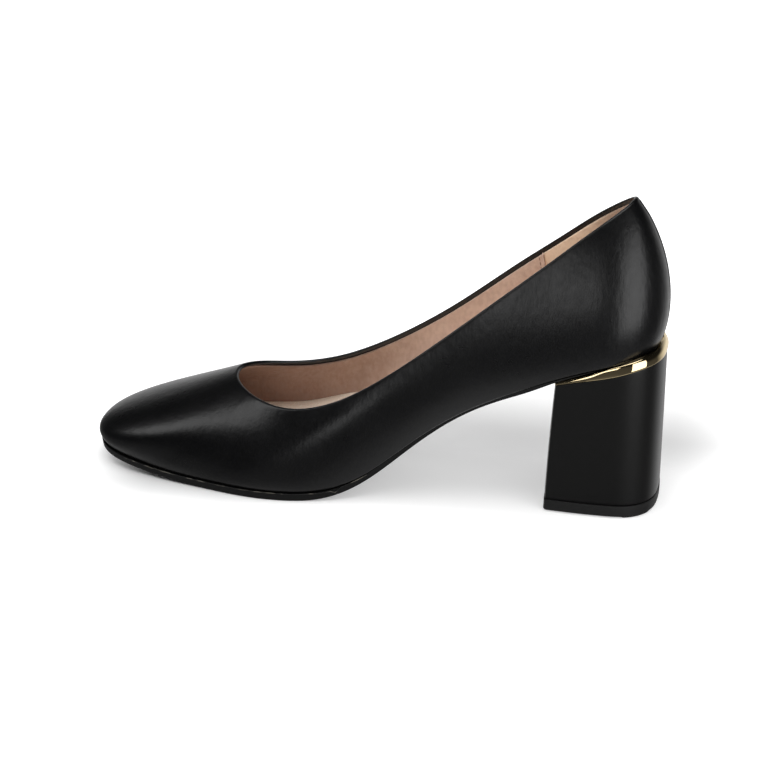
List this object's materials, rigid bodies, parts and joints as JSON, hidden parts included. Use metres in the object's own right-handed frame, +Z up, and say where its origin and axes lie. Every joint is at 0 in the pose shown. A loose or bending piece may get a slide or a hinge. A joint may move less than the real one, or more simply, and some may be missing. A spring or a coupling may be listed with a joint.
{
  "type": "court shoe",
  "caption": "Left women's court shoe: smooth black upper with a low rounded-square toe, thin sole, high block heel and a polished gold wedge band between heel and seat.",
  "frame": {"origin": "middle of the shoe's box, on the floor that it stands on", "axes": "+X from toe to heel, +Y from the outer side of the foot to the inner side, +Z up"},
  "size_m": [0.2446, 0.0786, 0.128],
  "materials": {
    "black_leather": "smooth black calf with a soft satin gloss, lined with blush pink leather",
    "beige_sock": "matte beige sock with a faint speckle",
    "black_sole": "black resin sole with an inked satin edge",
    "black_heel_wrap": "thin black leather wrapped smoothly over a hard heel",
    "mirror_gold": "polished gold plating",
    "black_top_piece": "matte black wearing piece"
  },
  "bodies": {
    "root": {"upper": "black_leather", "insole": "beige_sock", "outsole": "black_sole", "heel_block": "black_heel_wrap", "heel_band": "mirror_gold", "top_piece": "black_top_piece"}
  },
  "joints": []
}
